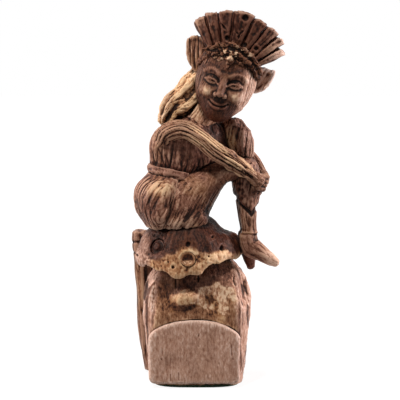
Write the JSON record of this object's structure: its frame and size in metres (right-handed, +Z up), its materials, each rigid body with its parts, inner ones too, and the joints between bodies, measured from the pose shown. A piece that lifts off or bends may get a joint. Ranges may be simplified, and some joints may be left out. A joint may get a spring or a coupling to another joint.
{
  "type": "pixie figurine",
  "caption": "Carved-wood-style pixie with a fan crown, hugging its knees on a toadstool that grows from a squared stump with a bare tablet.",
  "frame": {"origin": "middle of the stump's underside, on the felt, where the ornament stands", "axes": "+Z up; +X towards the pixie's knees, the viewer's right; -Y towards the viewer and the bare tablet"},
  "size_m": [0.0614, 0.0446, 0.1492],
  "materials": {
    "bark": "satin",
    "crown_wood": "satin",
    "skin": "satin",
    "cloth": "satin",
    "hair": "satin",
    "dowel_wood": "matte",
    "felt": "matte"
  },
  "bodies": {
    "root": {"plinth": "bark", "tablet": "bark", "rear_post": "bark", "toadstool_cap": "bark", "ringed_spot": "bark", "dished_spot": "bark", "crown_stave_1": "crown_wood", "crown_stave_2": "crown_wood", "crown_stave_3": "crown_wood", "crown_stave_4": "crown_wood", "crown_stave_5": "crown_wood", "crown_stave_6": "crown_wood", "crown_stave_7": "crown_wood", "crown_stave_8": "crown_wood", "right_shin": "skin", "left_shin": "skin", "right_foot": "skin", "left_foot": "skin", "neck": "skin", "head": "skin", "right_ear": "skin", "left_ear": "skin", "right_hand": "skin", "left_hand": "skin", "left_forearm": "skin", "skirt": "cloth", "peplum": "cloth", "knee_cloth": "cloth", "belt": "cloth", "bodice": "cloth", "right_arm": "cloth", "left_sleeve": "cloth", "hair": "hair", "fringe": "hair", "stem_dowel": "dowel_wood", "seat_dowel_front": "dowel_wood", "seat_dowel_rear": "dowel_wood", "post_pin_low": "dowel_wood", "post_pin_high": "dowel_wood", "neck_dowel": "dowel_wood", "right_shoulder_pin": "dowel_wood", "left_shoulder_pin": "dowel_wood", "felt_pad": "felt"}
  },
  "joints": []
}
